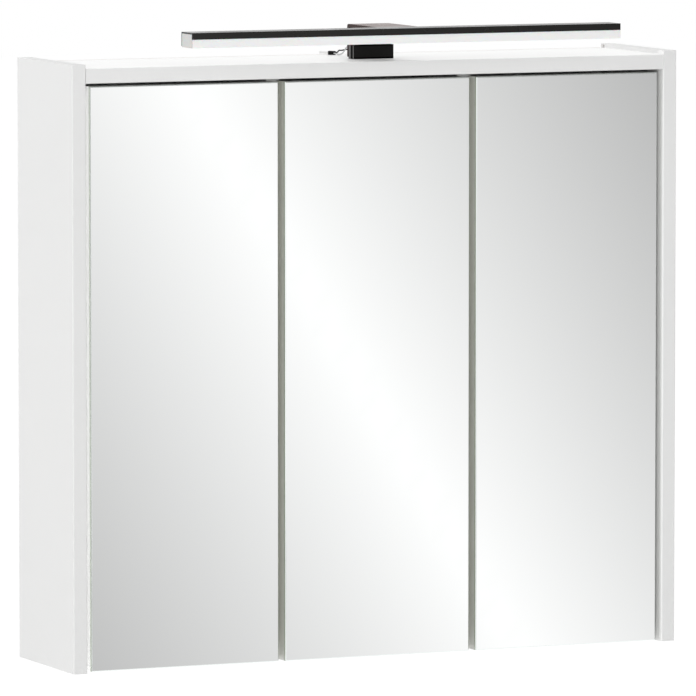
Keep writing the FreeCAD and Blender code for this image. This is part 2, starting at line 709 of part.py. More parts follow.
def lampBracket(housing):
    flange_bottom = "%s - bracket_flange" % lamp_top
    plate_bottom = "%s - bracket_thickness" % lamp_top
    flange_back = "%s + bracket_thickness" % lamp_back
    leg_bottom = "%s + bracket_foot_gap" % roof_top
    section = [(lamp_back, flange_bottom), (flange_back, flange_bottom), (flange_back, plate_bottom),
               (foot_back, plate_bottom), (foot_back, leg_bottom), (leg_back, leg_bottom),
               (leg_back, lamp_top), (lamp_back, lamp_top)]
    strip = outlineBody("bracket_strip", "YZ_Plane", "lamp_offset - foot_width / 2", section, "foot_width")
    outer_bend = Vector(0, value(leg_back), value(lamp_top))
    strip = dressed(strip, "Fillet", "Radius", "bracket_bend",
                    lambda middle, run: near(middle.y, outer_bend.y) and near(middle.z, outer_bend.z)
                    and abs(run.x) > 1)
    cap = outlineBody("foot_block", "XY_Plane", roof_top,
                      rectangle("lamp_offset - foot_width / 2", foot_front,
                                "lamp_offset + foot_width / 2", foot_back), "foot_height")
    front_y = value(foot_front)
    top_z = value("%s + foot_height" % roof_top)
    cap = dressed(cap, "Chamfer", "Size", "foot_chamfer",
                  lambda middle, run: near(middle.y, front_y) and abs(run.z) > 1
                  or near(middle.z, top_z) and near(middle.y, front_y))
    bracket_holes, foot_holes, housing_holes = [], [], []
    arm_screws, foot_screws = [], []
    for side, way in (("left", -1), ("right", 1)):
        across = "lamp_offset + %d * bracket_screw_spacing / 2" % way
        seat = ((0, -1, 0), across, leg_back, "%s + foot_height / 2" % roof_top)
        arm_screws.append(screw("leg_screw_" + side, *seat, "machine", "bracket_screw_length"))
        bracket_holes.append(clearHole("leg_hole_" + side, *seat, "machine", "bracket_screw_length"))
        foot_holes.append(clearHole("foot_side_hole_" + side, *seat, "machine", "bracket_screw_length"))
        seat = ((0, -1, 0), across, flange_back, "%s - bracket_flange / 2 - 2" % lamp_top)
        arm_screws.append(screw("housing_screw_" + side, *seat, "machine", "housing_screw_length"))
        bracket_holes.append(clearHole("flange_hole_" + side, *seat, "machine", "housing_screw_length"))
        housing_holes.append(clearHole("housing_hole_" + side, *seat, "machine", "housing_screw_length"))
        seat = ((0, 0, 1), "lamp_offset + %d * foot_screw_spacing / 2" % way,
                "(%s + %s) / 2 - 1" % (foot_front, foot_back), roof_bottom)
        foot_screws.append(screw("foot_screw_" + side, *seat, "machine", "foot_screw_length"))
        foot_holes.append(clearHole("foot_hole_" + side, *seat, "machine", "foot_screw_length"))
        drill("top_board", clearHole("foot_bore_" + side, *seat, "machine", "foot_screw_length"))
    grommet_z = "%s + grommet_rise" % roof_top
    neck = ((0, 1, 0), grommet_x, foot_back, grommet_z)
    bracket_holes.append(rod("grommet_hole", *neck, "grommet_neck + screw_gap", "bracket_thickness"))
    node("lamp_housing", carved("lamp_housing", housing, housing_holes))
    node("lamp_bracket", carved("lamp_bracket", strip, bracket_holes))
    node("lamp_foot", carved("lamp_foot", cap, foot_holes))
    node("lamp_bracket_screws", grouped("lamp_bracket_screws", arm_screws))
    node("lamp_foot_screws", grouped("lamp_foot_screws", foot_screws))
    inside = rod("grommet_inside", *neck, "grommet_neck", "bracket_thickness")
    outside = rod("grommet_outside", (0, 1, 0), grommet_x, leg_back, grommet_z, "grommet_radius",
                  "grommet_length")
    node("lead_grommet", fused("lead_grommet", [inside, outside]))


# ---- lead: two wires from the grommet to a small connector ----

def connector():
    """Two boxes end to end on the top board, turned together about the connector's front end."""
    for name, start, length, width, low, high in (
            ("connector_body", "0", "connector_length", "connector_width", "0", "connector_height"),
            ("connector_tip", "connector_length", "tip_length", "tip_width",
             "(connector_height - tip_height) / 2", "tip_height")):
        body = outlineBody(name, "XY_Plane", low,
                           rectangle("-%s / 2" % width, start, "%s / 2" % width,
                                     "%s + %s" % (start, length)), high)
        test_z = value("%s + %s" % (low, high))
        body = dressed(body, "Fillet", "Radius", "0.5",
                       lambda middle, run: near(middle.z, test_z) and abs(run.y) > 1)
        body.Placement = FreeCAD.Placement(Vector(), FreeCAD.Rotation(Vector(0, 0, 1), 1))
        bind(body, "Placement.Rotation.Angle", "connector_turn")
        node(name, placed(body, "%s + connector_offset" % grommet_x, "%s + connector_start" % leg_back,
                          roof_top))


def cordTube(name, points, radius):
    """A tube along straight runs joined by tangent arcs, each reaching over 45% of its shorter run."""
    foot = Vector(value(grommet_x), value(leg_back), value(roof_top))
    points = [foot + Vector(*point) for point in points]
    edges, start, radii = [], points[0], []
    for before, corner, after in zip(points, points[1:], points[2:]):
        back, ahead = (before - corner), (after - corner)
        turn = math.pi - back.getAngle(ahead)
        reach = 0.45 * min(back.Length, ahead.Length)
        radii.append(reach / math.tan(turn / 2))
        back.normalize()
        ahead.normalize()
        first, last = corner + back * reach, corner + ahead * reach
        inward = (back + ahead).normalize()
        middle = corner + inward * (radii[-1] / math.cos(turn / 2) - radii[-1])
        edges.append(Part.LineSegment(start, first).toShape())
        edges.append(Part.Arc(first, middle, last).toShape())
        start = last
    edges.append(Part.LineSegment(start, points[-1]).toShape())
    path = Part.Wire(edges)
    circle = Part.Wire([Part.Circle(points[0], points[1] - points[0], radius).toShape()])
    item = document.addObject("Part::Feature", name)
    item.Shape = path.makePipeShell([circle], True, False)
    print("%s: length %.1f, arc radii %s, volume over section times length %.4f" % (
        name, path.Length, ", ".join("%.1f" % r for r in radii),
        item.Shape.Volume / (math.pi * radius ** 2 * path.Length)))
    return item


# ---- boards, cut last because every fitting above has drilled its holes in them ----

def boardsAndPanels():
    groove = (groove_front, "%s + back_thickness + groove_play" % groove_front)
    for side, way in (("left", -1), ("right", 1)):
        name = "side_" + side
        panel = outlineBody(name + "_blank", "XY_Plane", "0",
                            rectangle(boards[name][0], front, boards[name][1], rear), "cabinet_height")
        front_y = value(front)
        panel = dressed(panel, "Fillet", "Radius", "edge_radius",
                        lambda middle, run: near(middle.y, front_y) and abs(run.z) > 50)
        drill(name, block(name + "_groove",
                          ("%d * %s" % (way, half_inside), "%d * (%s + groove_depth)" % (way, half_inside)),
                          groove, ("-1", "cabinet_height + 1")))
        node("side_panel_" + side, carved(name, panel, drillings[name]))
        name = "divider_" + side
        divider = outlineBody(name + "_blank", "XY_Plane", floor_top,
                              rectangle(boards[name][0], inner_front, boards[name][1], groove_front),
                              "%s - %s" % (roof_bottom, floor_top))
        inner_y = value(inner_front)
        divider = dressed(divider, "Fillet", "Radius", "rail_radius",
                          lambda middle, run: near(middle.y, inner_y) and abs(run.z) > 50)
        node(name, carved(name, divider, drillings[name]))
    for name, bottom, start in (("bottom_board", floor_bottom, inner_front),
                                ("top_board", roof_bottom, front)):
        slab = outlineBody(name + "_blank", "XY_Plane", bottom,
                           rectangle("-" + half_inside, start, half_inside, groove_front), "board_thickness")
        start_y = value(start)
        slab = dressed(slab, "Fillet", "Radius", "rail_radius",
                       lambda middle, run: near(middle.y, start_y) and abs(run.x) > 50)
        node(name, carved(name, slab, drillings[name]))
    half_width = "(%s + groove_depth - groove_play)" % half_inside
    sheet_blank = block("back_blank", ("-" + half_width, half_width), (groove_front, back_rear),
                        (floor_bottom, roof_top))
    node("back_panel", carved("back_panel", sheet_blank, drillings["back_panel"]))


joinery()
shelves()
doorSets()
doorBuffers()
hangers()
lampBracket(lampBar())
connector()
for route_name, route in lead_routes.items():
    node(route_name, cordTube(route_name, route, value("lead_diameter / 2")))
boardsAndPanels()
document.recompute()

for item in document.Objects:
    if "Invalid" in item.State or "Error" in item.State:
        raise RuntimeError("%s did not build: %s" % (item.Label, item.State))
for item in nodes:
    if item.Shape.isNull() or not item.Shape.isValid() or item.Shape.Volume <= 0:
        raise RuntimeError("%s has no valid solid" % item.Label)

os.makedirs("parts", exist_ok=True)
for item in nodes:
    item.Shape.exportStep(os.path.join("parts", item.Label + ".step"))
    print("%-24s %3d solids %12.1f mm3" % (item.Label, len(item.Shape.Solids), item.Shape.Volume))
print("%d nodes written" % len(nodes))
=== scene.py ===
# Three-door mirror cabinet with a black surface lamp: finishes, lead, studio and camera.
import math

import bpy
import numpy as np
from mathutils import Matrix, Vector


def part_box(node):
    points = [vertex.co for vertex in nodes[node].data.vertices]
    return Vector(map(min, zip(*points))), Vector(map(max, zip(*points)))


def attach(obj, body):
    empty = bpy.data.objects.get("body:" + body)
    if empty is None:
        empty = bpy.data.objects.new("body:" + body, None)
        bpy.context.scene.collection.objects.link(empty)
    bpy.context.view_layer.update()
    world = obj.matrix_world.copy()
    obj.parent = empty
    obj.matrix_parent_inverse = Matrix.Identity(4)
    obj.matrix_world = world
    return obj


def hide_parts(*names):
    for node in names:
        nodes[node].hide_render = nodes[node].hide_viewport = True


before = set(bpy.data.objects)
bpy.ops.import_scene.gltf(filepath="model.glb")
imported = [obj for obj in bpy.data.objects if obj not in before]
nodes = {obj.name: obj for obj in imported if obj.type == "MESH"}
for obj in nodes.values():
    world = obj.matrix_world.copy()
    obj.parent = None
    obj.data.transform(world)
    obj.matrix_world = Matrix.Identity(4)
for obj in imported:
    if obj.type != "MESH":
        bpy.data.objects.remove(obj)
scene = bpy.context.scene
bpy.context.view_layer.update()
print("frame loaded:", len(nodes), "nodes")

cameraPlace = {
    "aim": (-0.010, 0.0045, 0.3265),
    "azimuth": -23.59,  # degrees, to the cabinet's left
    "elevation": 5.26,
    "distance": 8.63,
    "lens": 417.7,
    "sensor": 36,
    "clip": (0.1, 100),
}


def pointAlong(thing, direction):
    # Turns a camera or a lamp to look along the direction, upright.
    thing.rotation_mode = "QUATERNION"
    thing.rotation_quaternion = direction.to_track_quat("-Z", "Y")


def makeCamera(place):
    # The camera sits on a ray from the aim point, turned by azimuth round the upright and raised
    # by elevation.
    turn, rise = math.radians(place["azimuth"]), math.radians(place["elevation"])
    level = math.cos(rise)
    back = Vector((math.sin(turn) * level, -math.cos(turn) * level, math.sin(rise)))
    data = bpy.data.cameras.new("cabinetCamera")
    data.lens = place["lens"]
    data.sensor_width = place["sensor"]
    data.clip_start, data.clip_end = place["clip"]
    camera = bpy.data.objects.new("cabinetCamera", data)
    camera.location = Vector(place["aim"]) + back * place["distance"]
    pointAlong(camera, -back)
    scene.collection.objects.link(camera)
    scene.camera = camera


makeCamera(cameraPlace)
print("camera set")

# Lead: two wires from the grommet to the connector.
leadWires = {
    "diameter": 0.0015,
    "lengths": {"lead_grey": 0.0674, "lead_black": 0.0668},
    # metres: sideways from the grommet, behind the bracket's leg, above the top board
    "routes": {
        "lead_grey": [
            (-0.00105, 0.003, 0.01005), (-0.00105, 0.0085, 0.01005), (-0.0021, 0.0175, 0.0121),
            (-0.0024, 0.0273, 0.011), (-0.0007, 0.0365, 0.0058), (0.0004, 0.0461, 0.0022),
            (-0.0001, 0.0562, 0.0009), (0.002347, 0.063986, 0.0017), (0.000347, 0.06745, 0.0017),
        ],
        "lead_black": [
            (0.00105, 0.003, 0.00795), (0.00105, 0.009, 0.00795), (0.0011, 0.0183, 0.008),
            (0.0009, 0.0287, 0.008), (0.0009, 0.0394, 0.0073), (0.0019, 0.0492, 0.0057),
            (0.002, 0.0587, 0.0056), (0.004253, 0.065086, 0.0027), (0.002253, 0.06855, 0.0027),
        ],
    },
}


def makeWire(name, wires, origin):
    # The route's points are the control points of one smooth spline, with a round section along it.
    points = np.ones((len(wires["routes"][name]), 4), np.float32)
    points[:, :3] = np.array(wires["routes"][name]) + np.array(origin)
    curve = bpy.data.curves.new(name + "_wire", "CURVE")
    curve.dimensions = "3D"
    spline = curve.splines.new("NURBS")
    spline.points.add(len(points) - 1)
    spline.points.foreach_set("co", points.ravel())
    spline.points.foreach_set("radius", np.full(len(points), wires["diameter"] / 2))
    spline.order_u = 3
    spline.use_endpoint_u = True
    spline.resolution_u = 10
    curve.bevel_depth = 1  # times the points' radius, so that the curve's bounds are the wire's own
    curve.bevel_resolution = 5
    curve.use_fill_caps = True
    wire = bpy.data.objects.new(name + "_wire", curve)
    scene.collection.objects.link(wire)
    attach(wire, "carcass")
    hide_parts(name)
    return wire


grommetLow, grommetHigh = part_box("lead_grommet")
leadOrigin = ((grommetLow.x + grommetHigh.x) / 2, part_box("lamp_bracket")[1].y,
              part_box("top_board")[1].z)
greyWire = makeWire("lead_grey", leadWires, leadOrigin)
blackWire = makeWire("lead_black", leadWires, leadOrigin)
print("lead laid")


# Shared effects: node groups that give colours, masks and heights, and the small helpers they need.
def addNode(tree, kind, **inputs):
    # Each name is one of the node's sockets, or else one of its own settings.
    node = tree.nodes.new(kind)
    for name, setting in inputs.items():
        if name in node.inputs:
            node.inputs[name].default_value = setting
        else:
            setattr(node, name, setting)
    return node


def feedSocket(tree, socket, setting):
    # A node's output is linked to the socket; a plain number or colour is set on it.
    if isinstance(setting, bpy.types.NodeSocket):
        tree.links.new(setting, socket)
    elif setting is not None:
        socket.default_value = setting


def mathNode(tree, operation, first, second=None, clamp=False):
    node = addNode(tree, "ShaderNodeMath", operation=operation, use_clamp=clamp)
    feedSocket(tree, node.inputs[0], first)
    feedSocket(tree, node.inputs[1], second)
    return node.outputs[0]


mixSockets = {"FLOAT": (2, 3, 0), "RGBA": (6, 7, 2)}  # inputs A and B, and the result


def mixNode(tree, kind, mask, first, second):
    # The first where the mask is 0, the second where it is 1.
    node = addNode(tree, "ShaderNodeMix", data_type=kind)
    firstInput, secondInput, result = mixSockets[kind]
    feedSocket(tree, node.inputs[0], mask)
    feedSocket(tree, node.inputs[firstInput], first)
    feedSocket(tree, node.inputs[secondInput], second)
    return node.outputs[result]


def startGroup(name, inputs, outputs):
    group = bpy.data.node_groups.new(name, "ShaderNodeTree")
    for label, kind, default in inputs:
        socket = group.interface.new_socket(name=label, in_out="INPUT", socket_type=kind)
        if default is not None:
            socket.default_value = default
    for label, kind in outputs:
        group.interface.new_socket(name=label, in_out="OUTPUT", socket_type=kind)
    return group, group.nodes.new("NodeGroupInput"), group.nodes.new("NodeGroupOutput")


surfaceNoise = {
    "grain": {"Detail": 2.0, "Roughness": 0.55},
    "grainSteps": (1.0, 4.7),  # the coarse and the fine noise, times the scale
    "patches": {"Detail": 4.0, "Roughness": 0.6, "Distortion": 0.6},
    "patchFloor": 0.32,  # noise below this is 0
    "patchGain": 2.8,
    "tones": {"Detail": 3.0, "Roughness": 0.5},
}


def makeGrainGroup(noises):
    # Height: coarse and fine noise in stretched coordinates, added in shares.
    group, given, result = startGroup(
        "surfaceGrain",
        [("Vector", "NodeSocketVector", None), ("Stretch", "NodeSocketVector", (1, 1, 1)),
         ("Scale", "NodeSocketFloat", 1000.0), ("Fine", "NodeSocketFloat", 0.4)],
        [("Height", "NodeSocketFloat")])
    stretched = addNode(group, "ShaderNodeVectorMath", operation="MULTIPLY")
    group.links.new(given.outputs["Vector"], stretched.inputs[0])
    group.links.new(given.outputs["Stretch"], stretched.inputs[1])
    heights = []
    for factor in noises["grainSteps"]:
        noise = addNode(group, "ShaderNodeTexNoise", **noises["grain"])
        group.links.new(stretched.outputs[0], noise.inputs["Vector"])
        scale = mathNode(group, "MULTIPLY", given.outputs["Scale"], factor)
        group.links.new(scale, noise.inputs["Scale"])
        heights.append(noise.outputs[0])
    mixed = mixNode(group, "FLOAT", given.outputs["Fine"], *heights)
    group.links.new(mixed, result.inputs["Height"])
    return group


def makePatchGroup(noises):
    # Value: broad noise with raised contrast, laid between a low and a high value.
    group, given, result = startGroup(
        "handledPatches",
        [("Vector", "NodeSocketVector", None), ("Scale", "NodeSocketFloat", 8.0),
         ("Low", "NodeSocketFloat", 0.3), ("High", "NodeSocketFloat", 0.5)],
        [("Value", "NodeSocketFloat")])
    noise = addNode(group, "ShaderNodeTexNoise", **noises["patches"])
    group.links.new(given.outputs["Vector"], noise.inputs["Vector"])
    group.links.new(given.outputs["Scale"], noise.inputs["Scale"])
    raised = mathNode(group, "SUBTRACT", noise.outputs[0], noises["patchFloor"])
    spread = mathNode(group, "MULTIPLY", raised, noises["patchGain"], clamp=True)
    spanOf = mathNode(group, "SUBTRACT", given.outputs["High"], given.outputs["Low"])
    share = mathNode(group, "MULTIPLY", spread, spanOf)
    laid = mathNode(group, "ADD", share, given.outputs["Low"])
    group.links.new(laid, result.inputs["Value"])
    return group


def makeToneGroup(noises):
    # Color: two close tones, mixed by broad noise.
    group, given, result = startGroup(
        "toneDrift",
        [("Vector", "NodeSocketVector", None), ("Scale", "NodeSocketFloat", 5.0),
         ("First", "NodeSocketColor", (0.8, 0.8, 0.8, 1)),
         ("Second", "NodeSocketColor", (0.7, 0.7, 0.7, 1))],
        [("Color", "NodeSocketColor")])
    noise = addNode(group, "ShaderNodeTexNoise", **noises["tones"])
    group.links.new(given.outputs["Vector"], noise.inputs["Vector"])
    group.links.new(given.outputs["Scale"], noise.inputs["Scale"])
    mixed = mixNode(group, "RGBA", noise.outputs[0], given.outputs["First"],
                    given.outputs["Second"])
    group.links.new(mixed, result.inputs["Color"])
    return group


def makeSlabGroup():
    # Mask: 1 between two distances along a direction, with a soft step at each.
    group, given, result = startGroup(
        "slabMask",
        [("Vector", "NodeSocketVector", None), ("Direction", "NodeSocketVector", (0, 1, 0)),
         ("Start", "NodeSocketFloat", 0.0), ("End", "NodeSocketFloat", 0.01),
         ("Softness", "NodeSocketFloat", 0.0001)],
        [("Mask", "NodeSocketFloat")])
    along = addNode(group, "ShaderNodeVectorMath", operation="DOT_PRODUCT")
    group.links.new(given.outputs["Vector"], along.inputs[0])
    group.links.new(given.outputs["Direction"], along.inputs[1])
    steps = []
    for edge, sign in (("Start", 1), ("End", -1)):
        beyond = mathNode(group, "SUBTRACT", along.outputs["Value"], given.outputs[edge])
        inside = mathNode(group, "MULTIPLY", beyond, sign)
        slope = mathNode(group, "DIVIDE", inside, given.outputs["Softness"])
        steps.append(mathNode(group, "ADD", slope, 0.5, clamp=True))
    group.links.new(mathNode(group, "MULTIPLY", *steps), result.inputs["Mask"])
    return group


grainGroup = makeGrainGroup(surfaceNoise)
patchGroup = makePatchGroup(surfaceNoise)
toneGroup = makeToneGroup(surfaceNoise)
slabGroup = makeSlabGroup()
print("shared effects ready")

sideways, inward, upright = (1, 0, 0), (0, 1, 0), (0, 0, 1)
past = 0.01  # metres beyond a piece, where a mask has nothing more to cut


class Finish:
    # One material: a Principled shader with the grain, patches and tones that its settings name.
    def __init__(self, name, settings):
        self.material = bpy.data.materials.new(name)
        self.material.use_nodes = True
        self.tree = self.material.node_tree
        self.shader = self.tree.nodes["Principled BSDF"]
        self.place = self.tree.nodes.new("ShaderNodeTexCoord").outputs["Object"]
        for socket, setting in settings.get("shader", {}).items():
            self.shader.inputs[socket].default_value = setting
        self.color = self.rough = None
        if "tones" in settings:
            scale, first, second = settings["tones"]
            node = self.group(toneGroup, Scale=scale, First=(*first, 1), Second=(*second, 1))
            self.color = node.outputs["Color"]
        if "roughness" in settings:
            scale, low, high = settings["roughness"]
            patches = self.group(patchGroup, Scale=scale, Low=low, High=high)
            self.rough = patches.outputs["Value"]
        if "grain" in settings:
            scale, stretch, depth, strength = settings["grain"]
            grain = self.group(grainGroup, Scale=scale, Stretch=stretch)
            bump = addNode(self.tree, "ShaderNodeBump", Strength=strength, Distance=depth)
            self.link(grain.outputs["Height"], bump.inputs["Height"])
            self.link(bump.outputs["Normal"], self.shader.inputs["Normal"])
        self.feed()

    def feed(self):
        if self.color:
            self.link(self.color, self.shader.inputs["Base Color"])
        if self.rough:
            self.link(self.rough, self.shader.inputs["Roughness"])

    def link(self, start, end):
        self.tree.links.new(start, end)

    def group(self, group, **inputs):
        node = addNode(self.tree, "ShaderNodeGroup")
        node.node_tree = group
        for name, setting in inputs.items():
            node.inputs[name].default_value = setting
        self.link(self.place, node.inputs["Vector"])
        return node

    def slab(self, start, end, softness=0.0001, direction=inward):
        node = self.group(slabGroup, Start=start, End=end, Softness=softness, Direction=direction)
        return node.outputs["Mask"]

    def mixColor(self, mask, first, second):
        tones = [tone if isinstance(tone, bpy.types.NodeSocket) else (*tone, 1)
                 for tone in (first, second)]
        return mixNode(self.tree, "RGBA", mask, *tones)

    def mixValue(self, mask, first, second):
        return mixNode(self.tree, "FLOAT", mask, first, second)


def dress(finish, *names):
    for name in names:
        piece = nodes[name] if isinstance(name, str) else name
        piece.data.materials.clear()
        piece.data.materials.append(finish.material)


def ofEachDoor(*kinds):
    return [kind + name for kind in kinds for name in ("left", "middle", "right")]


# White melamine boards with a banded front edge.
board = {
    "shader": {"IOR": 1.47},
    "tones": (2.2, (0.835, 0.836, 0.83), (0.815, 0.817, 0.812)),
    "roughness": (5.0, 0.36, 0.46),
    "grain": (1800.0, (1, 1, 1), 0.00012, 0.12),
    "seam": (0.0016, 0.00018),  # depth of the edging's joint behind the edge, and its width
    "seamSoftness": 0.00008,
    "seamTone": (0.62, 0.62, 0.61),
}


def makeBoard(name, edge, settings):
    finish = Finish(name, settings)
    depth, width = settings["seam"]
    seam = finish.slab(edge + depth, edge + depth + width, settings["seamSoftness"])
    finish.color = finish.mixColor(seam, finish.color, settings["seamTone"])
    finish.feed()
    return finish


dress(makeBoard("whiteBoardOuter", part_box("side_panel_left")[0].y, board),
      "side_panel_left", "side_panel_right", "top_board")
dress(makeBoard("whiteBoardInner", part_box("bottom_board")[0].y, board),
      "bottom_board", "divider_left", "divider_right")
dress(Finish("whiteBoardDoor", board), *ofEachDoor("door_"))
print("boards finished")

# Back panel: white lacquer inside, plain hardboard towards the wall.
hardboard = {
    "shader": {"IOR": 1.45},
    "tones": (60.0, (0.36, 0.235, 0.13), (0.27, 0.165, 0.085)),
    "roughness": (30.0, 0.62, 0.82),
    "grain": (900.0, (1, 1, 0.35), 0.0004, 0.35),
    "lacquer": (0.82, 0.82, 0.81),
    "lacquerRoughness": 0.4,
}


def makeBackPanel(settings):
    finish = Finish("hardboardBack", settings)
    low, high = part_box("back_panel")
    lacquered = finish.slab(low.y - past, (low.y + high.y) / 2)
    finish.color = finish.mixColor(lacquered, finish.color, settings["lacquer"])
    finish.rough = finish.mixValue(lacquered, finish.rough, settings["lacquerRoughness"])
    finish.feed()
    return finish


dress(makeBackPanel(hardboard), "back_panel")

# Mirrors: silvered face, ground arris, green glass edge.
mirrorGlass = {
    "shader": {"IOR": 1.52},
    "roughness": (3.0, 0.0, 0.012),
    "silver": (0.932, 0.94, 0.936),
    "arris": (0.86, 0.9, 0.885),
    "arrisStart": (0.00004, 0.00002),  # depth behind the face, and its softness
    "arrisRoughness": 0.16,
    "edge": (0.50, 0.545, 0.465),
    "edgeStart": (0.00098, 0.00004),
}


def makeMirror(settings):
    finish = Finish("mirrorGlass", settings)
    low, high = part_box("mirror_middle")
    arrisDepth, arrisSoftness = settings["arrisStart"]
    edgeDepth, edgeSoftness = settings["edgeStart"]
    ground = finish.slab(low.y + arrisDepth, high.y + past, arrisSoftness)
    edge = finish.slab(low.y + edgeDepth, high.y + past, edgeSoftness)
    face = finish.mixColor(ground, settings["silver"], settings["arris"])
    finish.color = finish.mixColor(edge, face, settings["edge"])
    finish.rough = finish.mixValue(ground, finish.rough, settings["arrisRoughness"])
    finish.feed()
    finish.link(finish.mixValue(edge, 1.0, 0.0), finish.shader.inputs["Metallic"])
    return finish


dress(makeMirror(mirrorGlass), *ofEachDoor("mirror_"))
print("mirrors finished")

# Glass shelves, greener where one looks into the polished front edge.
shelfGlass = {
    "shader": {"IOR": 1.52, "Transmission Weight": 1.0},
    "roughness": (6.0, 0.0, 0.02),
    "clear": (0.955, 0.985, 0.972),
    "edge": (0.45, 0.72, 0.6),
    "edgeDepth": 0.0008,
    "edgeSoftness": 0.0004,
}


def makeShelfGlass(settings):
    finish = Finish("shelfGlass", settings)
    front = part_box("shelf_middle_low")[0].y
    edge = finish.slab(front - past, front + settings["edgeDepth"], settings["edgeSoftness"])
    finish.color = finish.mixColor(edge, settings["clear"], settings["edge"])
    finish.feed()
    return finish


dress(makeShelfGlass(shelfGlass),
      *[name + level for name in ofEachDoor("shelf_") for level in ("_low", "_high")])

# Hinges and fasteners.
nickel = {
    "shader": {"Metallic": 1.0},
    "tones": (90.0, (0.70, 0.675, 0.63), (0.62, 0.60, 0.565)),
    "roughness": (140.0, 0.2, 0.33),
    "grain": (2500.0, (0.12, 1, 1), 0.00005, 0.25),
}
groundSteel = {
    "shader": {"Metallic": 1.0},
    "tones": (200.0, (0.6, 0.6, 0.6), (0.52, 0.52, 0.53)),
    "roughness": (300.0, 0.22, 0.32),
    "grain": (4000.0, (1, 1, 0.1), 0.00003, 0.2),
}
zinc = {
    "shader": {"Metallic": 1.0},
    "tones": (120.0, (0.60, 0.63, 0.67), (0.68, 0.66, 0.58)),
    "roughness": (200.0, 0.28, 0.45),
    "grain": (3000.0, (1, 1, 1), 0.00004, 0.25),
}
blackOxide = {
    "shader": {"Metallic": 0.7},
    "tones": (150.0, (0.03, 0.03, 0.033), (0.05, 0.048, 0.045)),
    "roughness": (200.0, 0.35, 0.5),
    "grain": (3000.0, (1, 1, 1), 0.00004, 0.2),
}
dress(Finish("nickelPlate", nickel), *ofEachDoor("hinge_cups_", "hinge_arms_", "mounting_plates_"))
dress(Finish("zincPlate", zinc), "hinge_arm_screws", "mounting_plate_screws", "hanging_screws",
      "hanging_plates", "cam_housings", "cam_bolts", "lamp_foot_screws", *ofEachDoor("cup_screws_"))
dress(Finish("groundSteel", groundSteel), *ofEachDoor("hinge_pins_"))
dress(Finish("blackOxide", blackOxide), "lamp_bracket_screws")
print("metal finished")

# Small inner pieces.
beech = {
    "tones": (300.0, (0.62, 0.42, 0.24), (0.5, 0.32, 0.17)),
    "roughness": (200.0, 0.55, 0.7),
    "grain": (1500.0, (0.1, 1, 0.1), 0.0002, 0.4),
}
clearPin = {
    "shader": {"Transmission Weight": 0.75, "IOR": 1.49},
    "tones": (200.0, (0.86, 0.87, 0.87), (0.8, 0.82, 0.82)),
    "roughness": (300.0, 0.12, 0.25),
    "grain": (2000.0, (1, 1, 1), 0.00005, 0.15),
}
softPad = {
    "shader": {"Transmission Weight": 0.35, "IOR": 1.45},
    "tones": (300.0, (0.85, 0.86, 0.86), (0.78, 0.79, 0.79)),
    "roughness": (300.0, 0.35, 0.5),
    "grain": (3500.0, (1, 1, 1), 0.00008, 0.3),
}
dress(Finish("beechDowel", beech), "dowels")
dress(Finish("clearPin", clearPin), "shelf_pins")
dress(Finish("softPad", softPad), "door_buffers")

# Lamp: black anodised profile, opal diffuser, LED board, black chrome arm, satin foot with painted
# highlight, painted sheen and painted shade.
anodised = {
    "shader": {"IOR": 1.5, "Specular IOR Level": 0.27},
    "tones": (14.0, (0.0065, 0.006, 0.0052), (0.0105, 0.0096, 0.0084)),
    "roughness": (25.0, 0.2, 0.3),
    "grain": (2600.0, (0.02, 1, 1), 0.00006, 0.35),
}
opal = {
    "shader": {"IOR": 1.49, "Subsurface Weight": 0.25, "Subsurface Scale": 0.003},
    "tones": (9.0, (0.945, 0.947, 0.94), (0.925, 0.927, 0.92)),
    "roughness": (20.0, 0.3, 0.4),
    "grain": (2200.0, (0.3, 1, 1), 0.00005, 0.1),
    "sawn": (0.63, 0.635, 0.62),  # the cut ends, duller than the extruded faces
    "sawnDepth": 0.0003,
}
solderMask = {
    "shader": {"IOR": 1.5},
    "tones": (40.0, (0.84, 0.84, 0.82), (0.78, 0.78, 0.76)),
    "roughness": (80.0, 0.3, 0.42),
    "grain": (1500.0, (1, 1, 1), 0.00008, 0.25),
}
phosphor = {
    "shader": {"IOR": 1.45, "Coat Weight": 0.5},
    "tones": (600.0, (0.86, 0.70, 0.22), (0.9, 0.76, 0.32)),
    "roughness": (400.0, 0.3, 0.45),
    "grain": (3000.0, (1, 1, 1), 0.00006, 0.3),
}
blackChrome = {
    "shader": {"Metallic": 1.0, "Specular Tint": (0.86, 0.75, 0.73, 1)},
    "tones": (30.0, (0.022, 0.021, 0.021), (0.034, 0.032, 0.032)),
    "roughness": (40.0, 0.2, 0.3),
    "grain": (1400.0, (1, 0.2, 1), 0.00006, 0.2),
}
satinBlack = {
    "shader": {"IOR": 1.48, "Specular IOR Level": 0.01},
    "tones": (60.0, (0.018, 0.0175, 0.017), (0.0215, 0.0209, 0.0203)),
    "roughness": (70.0, 0.36, 0.5),
    "grain": (2400.0, (1, 1, 1), 0.0001, 0.3),
    "sideDepth": 0.0003,
    "bright": (0.24, 0.24, 0.235),  # painted highlight on the sides' front edge
    "brightDepth": 0.0011,
    "paintedSheen": (0.15, 0.15, 0.148),  # painted sheen: a lighter rear band of the sides, standing in for a reflection
    "paintedSheenDepths": (0.0072, 0.0119),  # behind the front face
    "paintedShade": (0.0012, 0.0012, 0.0012),  # painted shade: between the two, and along the front's rims at bottom and top
    "rims": (0.0019, 0.0011),
}


def makeDiffuser(settings):
    finish = Finish("opalDiffuser", settings)
    low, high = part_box("lamp_diffuser")
    depth = settings["sawnDepth"]
    extruded = finish.slab(low.x + depth, high.x - depth, direction=sideways)
    finish.color = finish.mixColor(extruded, settings["sawn"], finish.color)
    finish.feed()
    return finish


